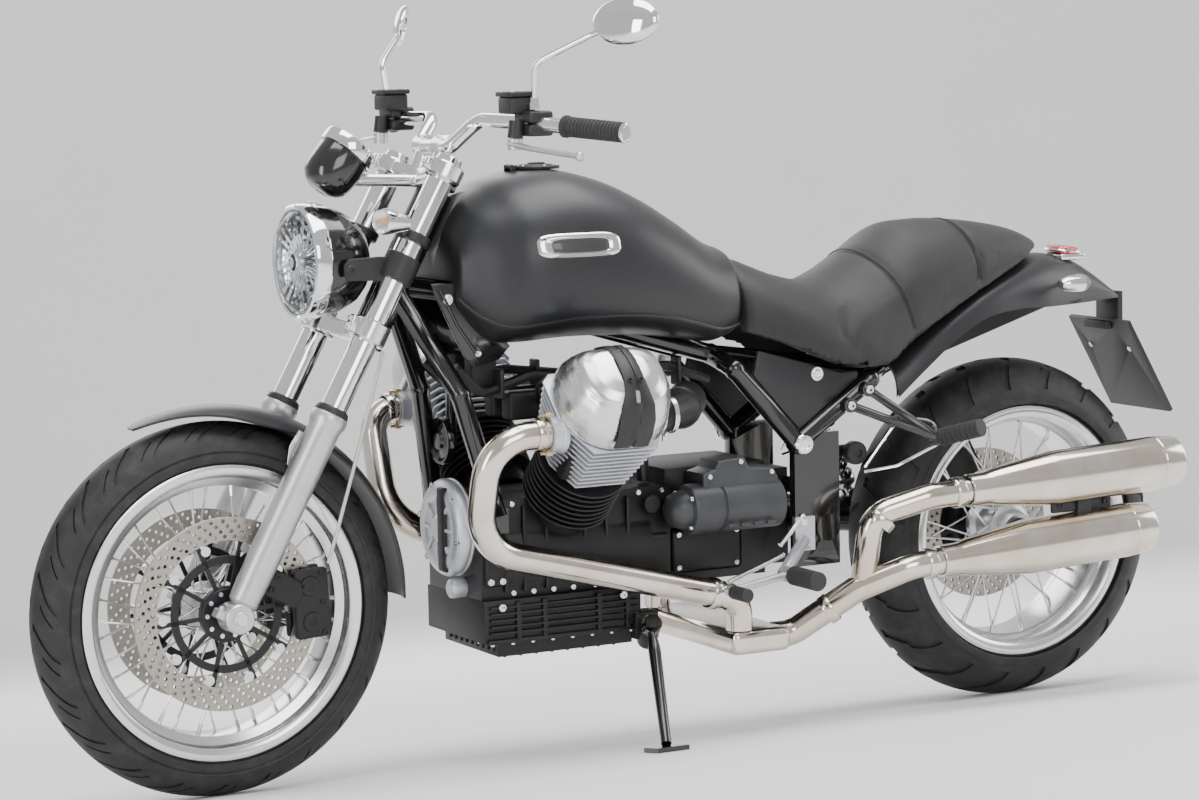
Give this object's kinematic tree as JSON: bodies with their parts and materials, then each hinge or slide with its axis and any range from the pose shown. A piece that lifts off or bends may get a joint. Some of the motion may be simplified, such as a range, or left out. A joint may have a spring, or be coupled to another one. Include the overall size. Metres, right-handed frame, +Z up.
{
  "type": "cruiser motorcycle",
  "caption": "Road motorcycle with wire-spoked wheels, turning front fork, transverse V engine, stacked silencers, folding side stand and hinged fuel lid.",
  "frame": {"origin": "on the floor under the centre of the parked machine's box", "axes": "+X forward, +Y to the rider's left, +Z up; the machine leans 9 degrees to +Y on its side stand"},
  "size_m": [2.2175, 0.9398, 1.3509],
  "materials": {
    "tyre_rubber": "matt moulded rubber",
    "polished_aluminium": "polished",
    "cast_aluminium": "satin cast",
    "spoke_steel": "polished stainless wire",
    "disc_steel": "ground, heat tinted",
    "hard_chrome": "mirror",
    "black_paint": "satin black",
    "black_casting": "black painted casting",
    "graphite_paint": "matt metallic graphite",
    "black_plastic": "moulded",
    "grip_rubber": "ribbed",
    "exhaust_steel": "polished stainless, warm",
    "clear_lens": "clear",
    "clear_lamp": "clear lens over reflector",
    "saddle_leather": "grained black",
    "graphite_plastic": "matt metallic graphite paint over plastic",
    "gloss_black_plastic": "gloss black",
    "cable_sheath": "braided sheath"
  },
  "bodies": {
    "front_wheel": {"front_tyre": "tyre_rubber", "front_rim": "polished_aluminium", "front_hub": "cast_aluminium", "front_spokes": "spoke_steel", "front_discs": "disc_steel"},
    "rear_wheel": {"rear_tyre": "tyre_rubber", "rear_rim": "polished_aluminium", "rear_hub": "cast_aluminium", "rear_spokes": "spoke_steel", "rear_disc": "disc_steel"},
    "steering": {"front_axle": "cast_aluminium", "fork_tubes": "hard_chrome", "fork_sliders": "cast_aluminium", "lower_yoke": "polished_aluminium", "upper_yoke": "polished_aluminium", "handlebar": "hard_chrome", "handlebar_grips": "grip_rubber", "control_pods": "black_plastic", "hand_levers": "cast_aluminium", "mirrors": "hard_chrome", "headlamp": "black_plastic", "headlamp_lens": "clear_lens", "headlamp_bracket": "black_paint", "speedometer": "black_plastic", "front_indicators": "clear_lamp", "front_fender": "graphite_plastic", "front_calipers": "black_casting", "speedometer_cable": "cable_sheath"},
    "chassis": {"frame": "black_paint", "engine_case": "black_casting", "engine_sump": "black_casting", "cylinder_barrels": "black_casting", "cylinder_heads": "cast_aluminium", "rocker_covers": "polished_aluminium", "alternator_cover": "cast_aluminium", "starter_motor": "black_casting", "throttle_bodies": "black_casting", "exhaust_headers": "exhaust_steel", "exhaust_collector": "exhaust_steel", "silencers": "exhaust_steel", "fuel_tank": "graphite_paint", "side_scoops": "gloss_black_plastic", "rider_saddle": "saddle_leather", "tail_fairing": "graphite_plastic", "side_panels": "graphite_plastic", "tail_lamps": "clear_lamp", "plate_holder": "black_plastic", "swingarm": "black_casting", "bevel_drive": "black_casting", "shock_absorber": "black_paint", "rider_footrests": "cast_aluminium", "passenger_footrests": "black_paint"},
    "fuel_lid": {"fuel_lid": "black_paint"},
    "side_stand": {"side_stand": "black_paint"}
  },
  "joints": [
    {"name": "steering_turn", "type": "hinge", "parent": "chassis", "child": "steering", "pos_m": [0.46676, -0.06951, 0.80592], "axis": [-0.4848, 0.1368, 0.8639], "range_deg": [-30, 30]},
    {"name": "front_wheel_spin", "type": "hinge", "parent": "steering", "child": "front_wheel", "pos_m": [0.797, -0.14819, 0.30916], "axis": [0, 0.9877, -0.1564], "continuous": true},
    {"name": "rear_wheel_spin", "type": "hinge", "parent": "chassis", "child": "rear_wheel", "pos_m": [-0.773, -0.14772, 0.31212], "axis": [0, 0.9877, -0.1564], "continuous": true},
    {"name": "side_stand_swing", "type": "hinge", "parent": "chassis", "child": "side_stand", "pos_m": [0.055, -0.01058, 0.20637], "axis": [0.1947, 0.8057, 0.5595], "range_deg": [0, 90.8]},
    {"name": "fuel_lid_open", "type": "hinge", "parent": "chassis", "child": "fuel_lid", "pos_m": [0.232, -0.03751, 1.00795], "axis": [0, 0.9877, -0.1564], "range_deg": [0, 100]}
  ]
}
